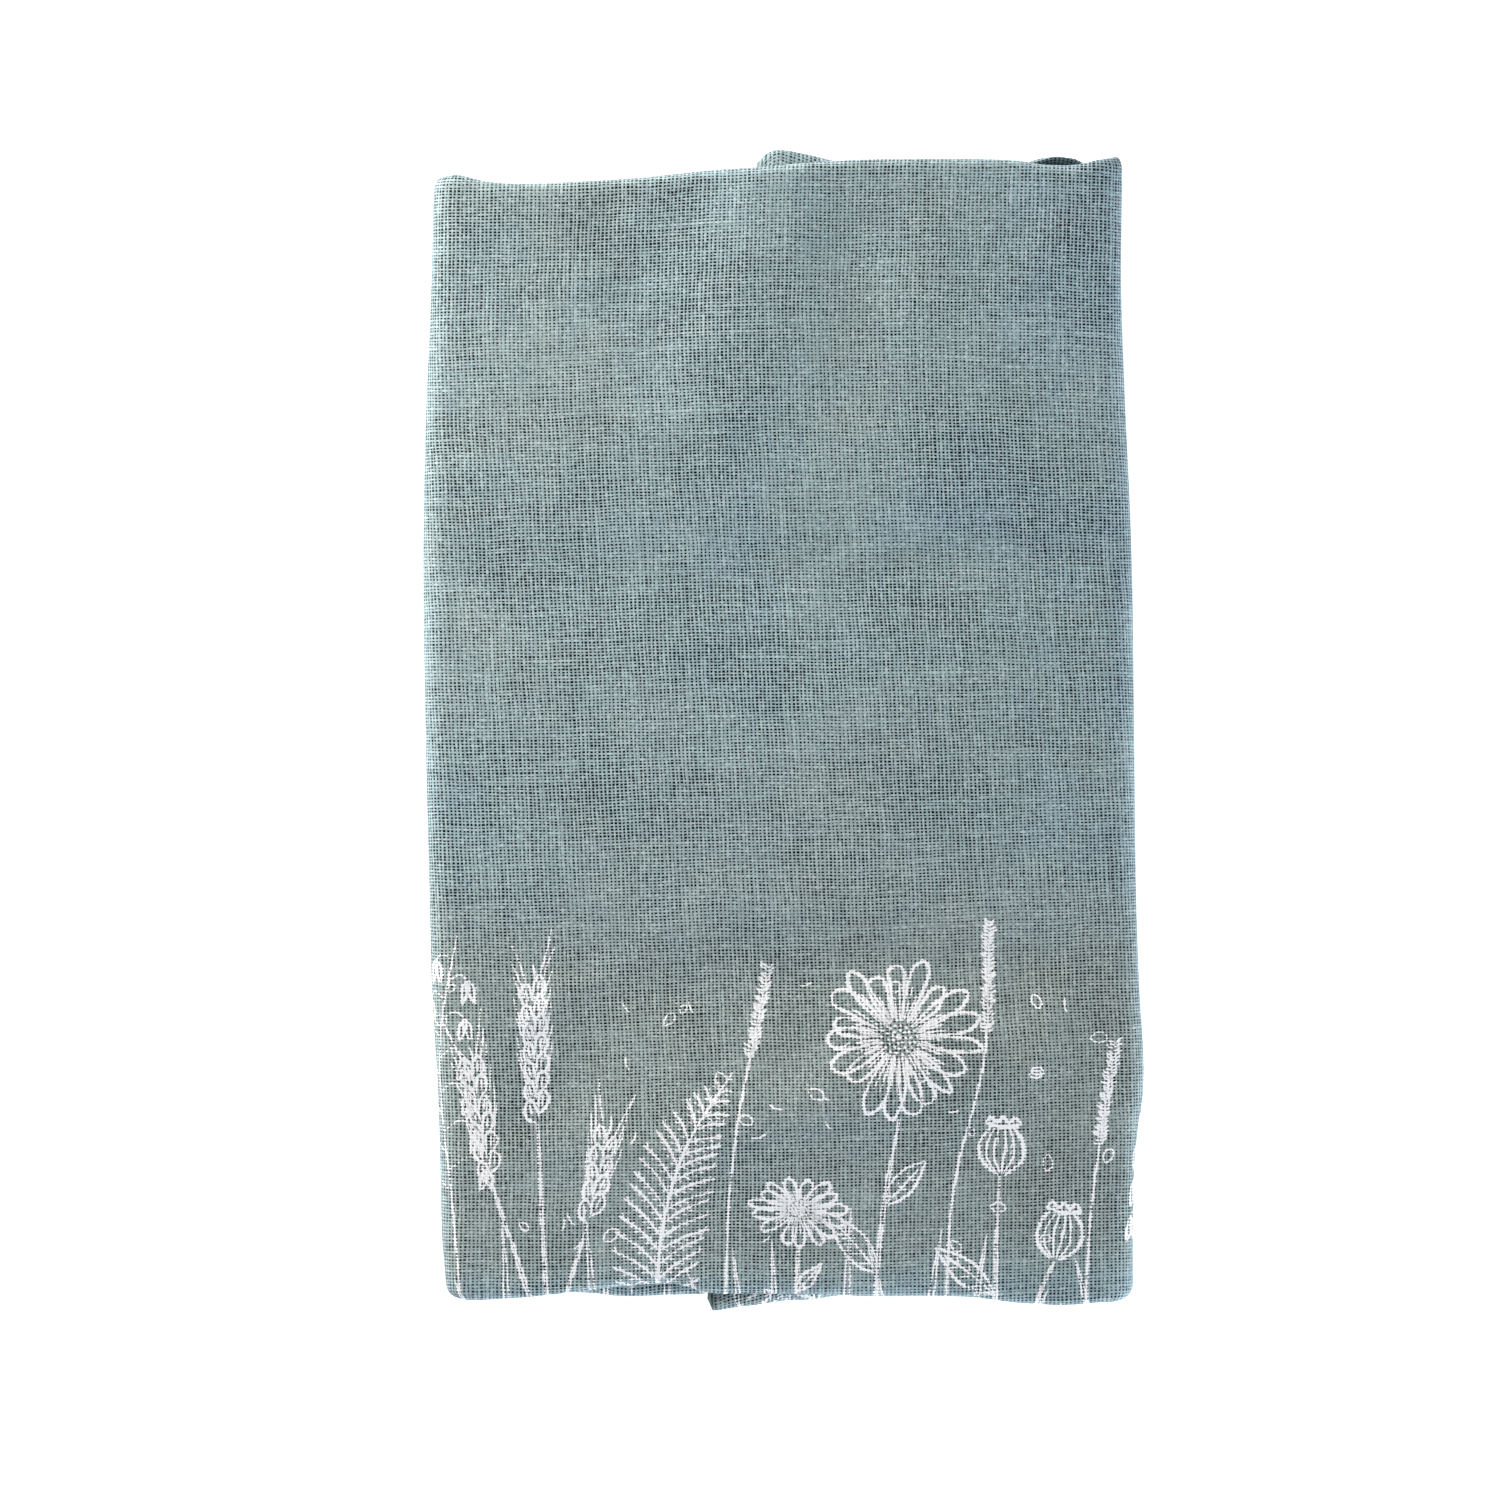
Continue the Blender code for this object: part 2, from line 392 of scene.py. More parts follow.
def fold_panel(turn, columns, rows):
    """The folded points, and the flat places, of a panel's grid."""
    across_share, angle = columns.T
    share, end_angle = rows.T[:, :, None]
    (left, right), (left_seam, right_seam) = edges_at(share), seams_at(share)
    in_flap = mix(np.where(angle < 0, left_seam, right_seam), np.where(angle < 0, left, right), across_share)
    start = np.where(angle == 0, mix(left, right, across_share), in_flap)
    points = fold(start, angle, share, end_angle, turn)
    across = unwrap(start, angle, left, right, SIDE_TURN - (FRONT_TURN - turn))
    low, high = ends_at(start, angle)
    along = unwrap(mix(low, high, share), end_angle, low, high, turn)
    print(f"folded {len(rows)} rows of {len(columns)}, to {np.abs(points[:, :, 1]).max():.1f} mm")
    return points, across, along


# %% Grain of the cloth
# The bag lies a little askew in its folds, so its threads drift sideways up the face.
# y, how far the warp threads have moved to the right
WARP_DRIFT = (
    (-114, 3.65), (-97.6, 3.75), (-83.6, 3.85), (-69.6, 3.5), (-55.6, 2.8), (-41.6, 2.2), (0, 0.0),
    (44.4, -2.6), (58.4, -3.4), (72.4, -4.0), (86.4, -4.2), (100.4, -3.95), (114, -3.6),
)
# x, how far the weft threads have risen near the lower end, the middle and the upper end
WEFT_DRIFT = (
    (-60, -1.2, 0.0, 0.0),
    (-43, -1.2, 0.35, 0.2),
    (-27, -0.8, 0.7, 0.8),
    (-11, -0.45, 1.0, 1.6),
    (5, -0.4, 1.05, 2.1),
    (21, -0.15, 1.05, 2.2),
    (37, 0.35, 0.95, 2.2),
    (53, 1.0, 0.65, 2.0),
    (66, 1.5, 0.4, 1.5),
)
# y where the drift of the middle ends, and y from where it is all that of the end
TO_LOWER_DRIFT = (40, -50)
TO_UPPER_DRIFT = (50, 100)


def share_of_way(value, start, end):
    return np.clip((value - start) / (end - start), 0, 1)


def thread_places(across, along):
    """Flat places, straightened so that the threads run along the axes."""
    lower, middle, upper = (read(WEFT_DRIFT, across, column) for column in (1, 2, 3))
    rise = mix(middle, lower, share_of_way(along, *TO_LOWER_DRIFT))
    rise = mix(rise, upper, share_of_way(along, *TO_UPPER_DRIFT))
    return np.stack(np.broadcast_arrays(across - read(WARP_DRIFT, along, 1), along - rise), axis=-1)


print("the threads drift by up to", max(abs(drift) for _, drift in WARP_DRIFT), "mm")


# %% Sheets
def add_object(name, data):
    made = bpy.data.objects.new(name, data)
    bpy.context.scene.collection.objects.link(made)
    return made


def grid_faces(rows, columns, first=0):
    """Quads between the points of a grid, which are numbered from the first, row by row."""
    grid = first + np.arange(rows * columns).reshape(rows, columns)
    corners = grid[:-1, :-1], grid[:-1, 1:], grid[1:, 1:], grid[1:, :-1]
    return np.stack(corners, axis=-1).reshape(-1, 4)


def make_mesh(name, points, faces, maps):
    """A smooth mesh object from points in mm, with a place for each point in each UV map."""
    data = bpy.data.meshes.new(name)
    data.from_pydata((points * MM).tolist(), [], faces.tolist())
    for map_name, places in maps.items():
        layer = data.uv_layers.new(name=map_name)
        layer.data.foreach_set("uv", places[faces.ravel()].ravel())
    data.shade_smooth()
    return add_object(name, data)


def thicken(piece):
    """Gives a sheet the thickness of linen, half of it on each side."""
    bpy.context.view_layer.objects.active = piece
    solidify = piece.modifiers.new("Thickness", "SOLIDIFY")
    solidify.thickness = LINEN_THICKNESS * MM
    solidify.offset = 0.0
    bpy.ops.object.modifier_apply(modifier=solidify.name)


def make_panel(name, turn, steps_across, steps_along):
    columns, rows = column_places(*steps_across), row_places(*steps_along)
    points, across, along = fold_panel(turn, columns, rows)
    threads = thread_places(across, along).reshape(-1, 2)
    faces = grid_faces(len(rows), len(columns))
    panel = make_mesh(name, points.reshape(-1, 3), faces, {"threads": threads})
    thicken(panel)
    flat = float((across[:, -1] - across[:, 0]).mean()), float((along[-1] - along[0]).mean())
    print(f"{name}: {len(panel.data.polygons)} faces, cut {flat[0]:.0f} x {flat[1]:.0f} mm")
    return panel, flat


front_cloth, front_flat = make_panel("front_panel_cloth", FRONT_TURN, *FRONT_STEPS)
back_cloth, back_flat = make_panel("back_panel_cloth", BACK_TURN, *BACK_STEPS)

# %% [markdown]
# ## The linen's weave
#
# Up close this linen is a plain weave, each thread passing over one and under the
# next. Modelling half a million crossings would be wasted work, so the weave is a
# shader: it reads the thread places that each panel carries as its UV map, in
# millimetres. Flax yarn is never even. It swells into slubs and thins again, and
# where two thin stretches meet a pinhole stays open. That is what makes linen look
# like linen, so each thread's width here follows its own slow noise.
#
# The group puts out the height of the threads for bump, a mask of where there is
# thread at all, and how high and how pale the topmost thread is. The shader that
# uses them stays in each material.

# %% Helpers for nodes
def add_node(tree, kind, sockets=(), **settings):
    """A new node with its settings made and its sockets set or joined."""
    node = tree.nodes.new(kind)
    for name, value in settings.items():
        setattr(node, name, value)
    for socket, value in dict(sockets).items():
        if isinstance(value, bpy.types.NodeSocket):
            tree.links.new(value, node.inputs[socket])
        else:
            node.inputs[socket].default_value = value
    return node


def set_first_node(data, kind, sockets):
    """Sets the main node that a new material or world comes with, and returns it."""
    data.use_nodes = True
    node = data.node_tree.nodes[kind]
    for socket, value in sockets.items():
        node.inputs[socket].default_value = value
    return node


def calc(tree, operation, *values):
    return add_node(tree, "ShaderNodeMath", enumerate(values), operation=operation).outputs[0]


def total(tree, *values):
    result = values[0]
    for value in values[1:]:
        result = calc(tree, "ADD", result, value)
    return result


def vector_math(tree, operation, first, second):
    """Two vectors put together, or one scaled by a number."""
    sockets = {0: first, "Scale" if operation == "SCALE" else 1: second}
    return add_node(tree, "ShaderNodeVectorMath", sockets, operation=operation).outputs[0]


def ramp(tree, value, from_low, from_high, to_low=0.0, to_high=1.0, smooth=False):
    """The value moved from one range to another, and held at its ends."""
    sockets = (("Value", value), (1, from_low), (2, from_high), (3, to_low), (4, to_high))
    kind = "SMOOTHSTEP" if smooth else "LINEAR"
    return add_node(tree, "ShaderNodeMapRange", sockets, interpolation_type=kind).outputs[0]


def noise(tree, place, scale, detail=2.0, output="Fac"):
    sockets = {"Vector": place, "Scale": scale, "Detail": detail}
    return add_node(tree, "ShaderNodeTexNoise", sockets, noise_dimensions="2D").outputs[output]


def split(tree, vector):
    return add_node(tree, "ShaderNodeSeparateXYZ", {"Vector": vector}).outputs


def blend(tree, share, first, second):
    """A plain number between two others."""
    return add_node(tree, "ShaderNodeMix", {0: share, 2: first, 3: second}).outputs[0]


def blend_colours(tree, share, first, second):
    return add_node(tree, "ShaderNodeMix", {0: share, 6: first, 7: second}, data_type="RGBA").outputs[2]


def new_group(name, inputs, outputs):
    """An empty shader group: (tree, its input sockets, its output node)."""
    tree = bpy.data.node_groups.new(name, "ShaderNodeTree")
    for socket, kind in inputs.items():
        tree.interface.new_socket(name=socket, in_out="INPUT", socket_type=kind)
    for socket in outputs:
        tree.interface.new_socket(name=socket, in_out="OUTPUT", socket_type="NodeSocketFloat")
    return tree, add_node(tree, "NodeGroupInput").outputs, add_node(tree, "NodeGroupOutput")


# %% One set of threads
# Widths are in thread pitches, and heights in thread radii.
WARP_PITCH = 0.80  # between threads that run along the bag, in mm
WEFT_PITCH = 0.634  # between threads that run across
FULLNESS = 0.242  # half of a thread's width
WARP_UNEVENNESS = 0.03
WEFT_UNEVENNESS = 0.04
QUICK_UNEVENNESS = 0.07
SLUB = 0.07  # how much wider a slub is
SLUB_NOISE = (0.68, 0.76)  # slubs swell where their noise is this high
STRAY = 0.04  # how far a thread strays from its line
PAIRING = 0.03  # how far each thread leans to its neighbour
FLATNESS = 2.6  # of a thread's crown, where 2 would be round
CRIMP = 0.75  # how far a thread rises over the next
WEFT_LIFT = 0.35  # how much prouder the weft lies
HIDDEN = -2.0  # height where there is no thread
COMMON_NOISE = (0.25, 0.75)  # noise seldom leaves this range
SPECKLED = 0.55  # how much of a yarn's paleness comes and goes in short specks

# For each unevenness: where its noise is read, and how fast it changes between crossings
THREAD_NOISES = {
    "stray": (200.0, 0.05),
    "slow": (0.0, 0.03),
    "quick": (40.0, 0.55),
    "slubs": (300.0, 0.045),
    "yarn": (90.0, 0.10),
    "specks": (150.0, 0.9),
}


def make_thread_set(tree, across, along, shift, fullness, unevenness, seed):
    """One of the two sets of threads: its height, and how pale its yarn is."""
    number = calc(tree, "FLOOR", across)
    own = calc(tree, "MULTIPLY", number, seed)

    def own_noise(kind):
        """Soft noise along each thread that no other thread shares."""
        line, rate = THREAD_NOISES[kind]
        place = {"X": calc(tree, "ADD", own, line), "Y": calc(tree, "MULTIPLY", along, rate)}
        return noise(tree, add_node(tree, "ShaderNodeCombineXYZ", place).outputs[0], 1.0, 0.0)

    def unevenly(kind, most):
        return ramp(tree, own_noise(kind), *COMMON_NOISE, -most, most)

    stray = unevenly("stray", STRAY)
    pair = calc(tree, "MULTIPLY", calc(tree, "COSINE", calc(tree, "MULTIPLY", number, math.pi)), PAIRING)
    off = calc(tree, "ABSOLUTE", calc(tree, "SUBTRACT", across, total(tree, number, 0.5, stray, pair)))
    slow, quick = unevenly("slow", unevenness), unevenly("quick", QUICK_UNEVENNESS)
    slub = ramp(tree, own_noise("slubs"), *SLUB_NOISE, 0.0, SLUB, smooth=True)
    share = calc(tree, "DIVIDE", off, total(tree, fullness, slow, quick, slub))
    inside = calc(tree, "LESS_THAN", share, 1.0)
    crown = calc(tree, "MAXIMUM", calc(tree, "SUBTRACT", 1.0, calc(tree, "POWER", share, FLATNESS)), 0.0)
    wave = calc(tree, "MULTIPLY", total(tree, along, number, shift - 0.5), math.pi)
    rise = calc(tree, "MULTIPLY", calc(tree, "COSINE", wave), CRIMP)
    top = calc(tree, "ADD", calc(tree, "SQRT", crown), rise)
    height = calc(tree, "ADD", calc(tree, "MULTIPLY", calc(tree, "SUBTRACT", top, HIDDEN), inside), HIDDEN)
    return height, blend(tree, SPECKLED, own_noise("yarn"), own_noise("specks"))


# %% The plain weave, as a group
THREAD_SWAYS = ((0.07, 0.7), (0.5, 0.12))  # noise scale, and how far threads wander there in mm
AIRY_SCALE = 0.035
AIRY_NOISE = (0.35, 0.65)
AIRY_WIDTHS = (0.03, -0.02)  # threads are wider in the dense patches and thinner in the airy ones
WARP_SEED = 3.7137
WEFT_SEED = 5.3791
LOWEST_SEEN = -1.0  # of the threads' heights
LEAST_THREAD = 0.1  # how far thread stands over the height of a hole


def make_weave_group():
    outputs = ("Height", "Cloth", "Crest", "Tone")
    tree, given, out = new_group("plain weave", {"Threads": "NodeSocketVector"}, outputs)
    places = given["Threads"]
    for scale, reach in THREAD_SWAYS:
        sway = vector_math(tree, "SUBTRACT", noise(tree, places, scale, output="Color"), (0.5, 0.5, 0.5))
        places = vector_math(tree, "ADD", places, vector_math(tree, "SCALE", sway, reach))
    flat = split(tree, places)
    airy = noise(tree, given["Threads"], AIRY_SCALE, 1.0)
    fullness = calc(tree, "ADD", FULLNESS, ramp(tree, airy, *AIRY_NOISE, *AIRY_WIDTHS))
    warp = calc(tree, "DIVIDE", flat["X"], WARP_PITCH)
    weft = calc(tree, "DIVIDE", flat["Y"], WEFT_PITCH)
    warp_height, warp_tone = make_thread_set(tree, warp, weft, 0.0, fullness, WARP_UNEVENNESS, WARP_SEED)
    weft_height, weft_tone = make_thread_set(tree, weft, warp, 1.0, fullness, WEFT_UNEVENNESS, WEFT_SEED)
    weft_height = calc(tree, "ADD", weft_height, WEFT_LIFT)
    height = calc(tree, "MAXIMUM", warp_height, weft_height)
    over = calc(tree, "GREATER_THAN", warp_height, weft_height)
    cloth = calc(tree, "GREATER_THAN", height, HIDDEN + WEFT_LIFT + LEAST_THREAD)
    crest = ramp(tree, height, LOWEST_SEEN, 1.0 + CRIMP + WEFT_LIFT)
    for socket, value in zip(outputs, (height, cloth, crest, blend(tree, over, weft_tone, warp_tone))):
        tree.links.new(value, out.inputs[socket])
    return tree


weave_group = make_weave_group()
print("weave:", len(weave_group.nodes), "nodes")

# %% [markdown]
# ## Linen and ink
#
# The cloth's own colour lies between a sage green and a duck-egg blue, in soft
# clouds, and it turns duller and darker towards the lower end. Light and shade are
# painted into that colour too: a painted cool tint where the cloth bends away at the
# folds and along the lower fold, a painted highlight on the folds, painted shade in
# the valleys between the threads' crests, and painted shade that deepens towards the
# right. A second group holds the clouds, the greying and the painted cool tint,
# because the clouds are placed on the flat cloth and have to fold with it. Between
# the threads the colour is painted nearly black, a painted shadow of the plies below
# that those pinholes look into. The print is a thin off-white ink that a screen has
# left mostly on the threads' crests, so the pinholes stay open through a thin line
# and break it into dots, and only the boldest strokes bridge them.

# %% The dye and a painted cool tint, as a group
BROAD_CLOUDS = (0.02, 3.0)  # noise scale and detail
SMALL_CLOUDS = (0.11, 2.0)
SMALL_SHARE = 0.3
BLUE_NOISE = (0.24, 0.76)
BLUER_TO_THE_RIGHT = 0.14
ACROSS_THE_BAG = (-60.0, 60.0)
WHERE_IT_BLUES = (-50.0, 30.0, 0.1, 1.0)  # up the bag: a tenth of that below, all of it above
BLUE_BEND = (0.1, 0.9)  # painted cool tint where the cloth bends away: 0 where the cloth lies flat, 1 where it stands upright
GREY_FROM = (4.0, -48.0)  # up the bag, in mm: no grey above the first, most below the second
GREY_EDGE = 20.0  # how far clouds push that edge up and down, in mm
GREY_NOISE = (0.3, 0.7)
MOST_GREY = 0.62
# Along the lower fold the cloth gets a painted cool tint, as the cool light on that edge would give it.
LOWER_FOLD_TINT_REACH = (3.0, 11.0)  # painted cool tint along the lower fold, from it in mm: all of it nearer, none further
LOWER_FOLD_PAINTED_BLUE = 0.85


def make_dye_and_painted_tint_group():
    """How blue the cloth is, with a painted cool tint on its folds, and how grey it turns towards the lower
    end, from 0 to 1.
    """
    inputs = {"Threads": "NodeSocketVector", "Bend": "NodeSocketFloat"}
    tree, given, out = new_group("dye_and_painted_tint", inputs, ("Blue", "Grey"))
    broad = noise(tree, given["Threads"], *BROAD_CLOUDS)
    clouds = blend(tree, SMALL_SHARE, broad, noise(tree, given["Threads"], *SMALL_CLOUDS))
    flat = split(tree, given["Threads"])
    to_right = ramp(tree, flat["X"], *ACROSS_THE_BAG, -BLUER_TO_THE_RIGHT, BLUER_TO_THE_RIGHT)
    upwards = ramp(tree, flat["Y"], *WHERE_IT_BLUES)
    blue = ramp(tree, calc(tree, "MULTIPLY_ADD", to_right, upwards, clouds), *BLUE_NOISE)
    # A painted cool tint on the lower fold and wherever the cloth bends away; it also keeps the grey off the
    # folds.
    from_fold = calc(tree, "ABSOLUTE", calc(tree, "ADD", flat["Y"], HALF_LENGTH))
    lower_fold_tint = ramp(tree, from_fold, *LOWER_FOLD_TINT_REACH, LOWER_FOLD_PAINTED_BLUE, 0.0, smooth=True)
    bend = calc(tree, "MAXIMUM", ramp(tree, given["Bend"], *BLUE_BEND), lower_fold_tint)
    tree.links.new(calc(tree, "MAXIMUM", blue, bend), out.inputs["Blue"])
    edge = ramp(tree, broad, *GREY_NOISE, -GREY_EDGE, GREY_EDGE)
    grey = ramp(tree, calc(tree, "ADD", flat["Y"], edge), *GREY_FROM, 0.0, MOST_GREY)
    grey = calc(tree, "MULTIPLY", grey, calc(tree, "SUBTRACT", 1.0, bend))
    tree.links.new(grey, out.inputs["Grey"])
    return tree


dye_and_painted_tint_group = make_dye_and_painted_tint_group()
print("dye:", len(dye_and_painted_tint_group.nodes), "nodes")

# %% The start of a cloth's material
BUMP_DEPTH = 0.00005  # metres for one thread radius
SHEEN_ROUGHNESS = 0.5
SPECULAR = 0.25


def start_material(name, roughness, sheen):
    """(material, its tree, its shader, the thread places, the weave's outputs)."""
    material = bpy.data.materials.new(name)
    finish = {"Roughness": roughness, "Sheen Weight": sheen}
    finish |= {"Sheen Roughness": SHEEN_ROUGHNESS, "Specular IOR Level": SPECULAR}
    shader = set_first_node(material, "Principled BSDF", finish)
    tree = material.node_tree
    threads = add_node(tree, "ShaderNodeUVMap", uv_map="threads").outputs[0]
    weave = add_node(tree, "ShaderNodeGroup", {"Threads": threads}, node_tree=weave_group).outputs
    bump = add_node(tree, "ShaderNodeBump", {"Height": weave["Height"], "Distance": BUMP_DEPTH})
    tree.links.new(bump.outputs[0], shader.inputs["Normal"])
    return material, tree, shader, threads, weave


# %% Linen
LINEN_FINISH = (0.88, 0.12)  # roughness and sheen
SAGE = (0.300, 0.372, 0.362, 1.0)
DUCK_EGG = (0.266, 0.368, 0.412, 1.0)
GREY_SAGE = (0.273, 0.315, 0.299, 1.0)  # duller and darker towards the lower end, under the print
PALE_YARN = (0.500, 0.520, 0.480, 1.0)  # flax that took less dye
PALE_NOISE = (0.54, 0.70)
PALE_SHARE = 0.2
# Painted shadow: the pinholes are painted nearly black, for the shaded plies below.
HOLE_SHADE = 0.01

# What darkens or lightens the colour, as painted shade and painted highlight, and as the yarn's own
# paleness: from this value to that one, the first shade and the last
CREST_SHADES = (0.15, 0.95, 0.85, 1.27)  # painted shade in the valleys between threads and painted highlight on their crests, by the height of the thread
YARN_SHADES = (0.34, 0.66, 0.87, 1.13)  # by the yarn's paleness
FOLD_HIGHLIGHT_SHADES = (0.05, 0.60, 1.00, 1.04)  # by the bend: a painted highlight on the folds
RIGHTWARD_PAINTED_SHADES = (-30.0, 50.0, 1.03, 0.93)  # by x: painted shade that deepens a little towards the right


def make_linen(name):
    material, tree, shader, threads, weave = start_material(name, *LINEN_FINISH)
    # How far the cloth turns from facing up: it drives the painted cool tint and the painted highlight on
    # the folds.
    facing = split(tree, add_node(tree, "ShaderNodeNewGeometry").outputs["Normal"])["Z"]
    bend = calc(tree, "SUBTRACT", 1.0, calc(tree, "ABSOLUTE", facing))
    dye_and_painted_tint = add_node(tree, "ShaderNodeGroup", {"Threads": threads, "Bend": bend}, node_tree=dye_and_painted_tint_group).outputs
    colour = blend_colours(tree, dye_and_painted_tint["Blue"], SAGE, DUCK_EGG)
    colour = blend_colours(tree, dye_and_painted_tint["Grey"], colour, GREY_SAGE)
    pale = ramp(tree, weave["Tone"], *PALE_NOISE, 0.0, PALE_SHARE)
    colour = blend_colours(tree, pale, colour, PALE_YARN)
    # Painted shade and highlight: darker in the threads' valleys, lighter on their crests and on the folds,
    # darker towards the right; the yarn's own paleness counts too.
    shade = ramp(tree, weave["Crest"], *CREST_SHADES)
    to_right = split(tree, threads)["X"]
    for value, shades in ((weave["Tone"], YARN_SHADES), (bend, FOLD_HIGHLIGHT_SHADES), (to_right, RIGHTWARD_PAINTED_SHADES)):
        shade = calc(tree, "MULTIPLY", shade, ramp(tree, value, *shades))
    # Painted shadow in the pinholes.
    shade = blend(tree, weave["Cloth"], HOLE_SHADE, shade)
    tree.links.new(vector_math(tree, "SCALE", colour, shade), shader.inputs["Base Color"])
    return material


# %% Ink
INK_FINISH = (0.75, 0.05)
INK = (0.93, 0.93, 0.95)
INK_SHADES = (0.1, 0.7, 0.88, 1.0)  # painted shade on the ink in the threads' valleys, by the height of the thread
GRAIN_SCALE = 1.6
DRY_SCALE = 0.22
DRY_NOISE = (0.36, 0.50)
DRYNESS = -0.24  # where the screen left less

# How much the ink's grain and the stroke's strength count, and from where to where ink takes
ON_CRESTS = (0.6, 0.9)
CREST_INK = (1.08, 1.24)  # a crest takes none of a weaker stroke, and all of a stronger one
OVER_HOLES = (0.5, 1.0)
HOLE_INK = (0.69, 0.83)  # a pinhole is bridged only by a bolder one


def make_ink(name):
    material, tree, shader, threads, weave = start_material(name, *INK_FINISH)
    stroke = split(tree, add_node(tree, "ShaderNodeUVMap", uv_map="stroke").outputs[0])
    from_edge = calc(tree, "SUBTRACT", 1.0, calc(tree, "ABSOLUTE", stroke["X"]))
    cover = calc(tree, "MULTIPLY", from_edge, stroke["Y"])
    grain = noise(tree, threads, GRAIN_SCALE, 1.0)
    dry = ramp(tree, noise(tree, threads, DRY_SCALE, 1.0), *DRY_NOISE, DRYNESS, 0.0)

    def strength(grain_counts, cover_counts):
        weighed = calc(tree, "MULTIPLY", grain, grain_counts), calc(tree, "MULTIPLY", cover, cover_counts)
        return total(tree, *weighed, dry)

    taken = ramp(tree, calc(tree, "ADD", weave["Crest"], strength(*ON_CRESTS)), *CREST_INK)
    taken = calc(tree, "MULTIPLY", taken, weave["Cloth"])
    bridging = ramp(tree, strength(*OVER_HOLES), *HOLE_INK)
    tree.links.new(calc(tree, "MAXIMUM", taken, bridging), shader.inputs["Alpha"])
    # Painted shade: the ink is darker in the threads' valleys.
    shade = ramp(tree, weave["Crest"], *INK_SHADES)
    tree.links.new(vector_math(tree, "SCALE", INK, shade), shader.inputs["Base Color"])
    return material


linen = make_linen("blue_grey_linen")
ink = make_ink("off_white_ink")
for cloth in (front_cloth, back_cloth):
    cloth.data.materials.append(linen)
print("materials:", linen.name, "and", ink.name)

# %% [markdown]
# ## A meadow, printed by hand
#
# Plants in one pale ink grow across the lower part of the bag, loosely drawn as if
# with a pen. They are common ones of meadow and field: wheat, oats, timothy,
# daisies, fern, poppy heads and grass. Each is a small function that adds pen
# strokes on the flat cloth, so the design is drawn where a printer would print it
# and is then folded with the panel. A stroke is a narrow ribbon a twentieth of a
# millimetre above the linen: ink has no thickness that one could see, and its
# material decides how much of it each thread took.

# %% Pen strokes
INK_RISE = 0.05  # above the linen
STROKE_STEP = 0.7  # between the points of a stroke
HAND = random.Random(5)  # the unevenness of the drawing hand


def smooth_line(points):
    """Points in short steps on a curve through the given ones."""
    knots = np.array(points, float)
    if len(knots) == 2:
        knots = np.array([knots[0], knots.mean(axis=0), knots[1]])
    gaps = np.linalg.norm(np.diff(knots, axis=0), axis=1)
    length = np.concatenate([[0], np.cumsum(gaps)])
    slopes = np.gradient(knots, length, axis=0)
    at = np.linspace(0, length[-1], max(3, int(length[-1] / STROKE_STEP) + 1))
    i = np.clip(np.searchsorted(length, at) - 1, 0, len(knots) - 2)
    span = gaps[i][:, None]
    t = (at - length[i])[:, None] / span
    return smooth_step_between(knots[i], knots[i + 1], slopes[i], slopes[i + 1], span, t)


def turned(points, at, degrees, size=1.0):
    """Points drawn upright round (0, 0), turned clockwise and moved to their place."""
    angle = math.radians(degrees)
    x, y = np.array(points, float).T * size
    return np.column_stack([at[0] + x * math.cos(angle) + y * math.sin(angle),
                            at[1] - x * math.sin(angle) + y * math.cos(angle)])


def shaky(points, amount):
    """Points as an unsteady hand puts them."""
    return [(x + HAND.gauss(0, amount), y + HAND.gauss(0, amount)) for x, y in points]


strokes = []  # (points, width, ink)


def draw(points, width, ink_load):
    strokes.append((smooth_line(points), width, ink_load))


def draw_at(at, degrees, points, width, ink_load, shake=0.0, size=1.0):
    """A stroke that is given upright, round the place where its part of the plant grows."""
    points = shaky(points, shake) if shake else points
    draw(turned(points, at, degrees, size), width, ink_load)


# %% Plants
LEAF_EDGE = ((0, 0), (0.31, 0.2025), (0.5, 0.45), (0.31, 0.77), (0, 1))  # in its widths and lengths


def draw_leaf(at, degrees, length, width, veins):
    for way in (-1, 1):
        edge = [(way * x * width, y * length) for x, y in LEAF_EDGE]
        draw_at(at, degrees, edge, 0.65, 0.8, shake=0.15)
    draw_at(at, degrees, [(0, 0), (0.2, length * 0.45), (0, length * 0.85)], 0.55, 0.75)
    for k in range(veins):
        y = length * (k + 1) / (veins + 2)
        for way in (-1, 1):
            draw_at(at, degrees, [(0, y), (way * width * 0.32, y + length * 0.1)], 0.4, 0.6)


def draw_stem(points, spread=0.45):
    """A stalk in two loose lines that draw together at its top."""
    line = smooth_line(points)
    picks = np.linspace(0, len(line) - 1, max(3, len(line) // 8)).astype(int)
    for side in (-spread, spread):
        near = side * (1 - 0.7 * picks / len(line))
        draw([(line[i][0] + x + HAND.gauss(0, 0.1), line[i][1]) for i, x in zip(picks, near)], 0.58, 0.72)


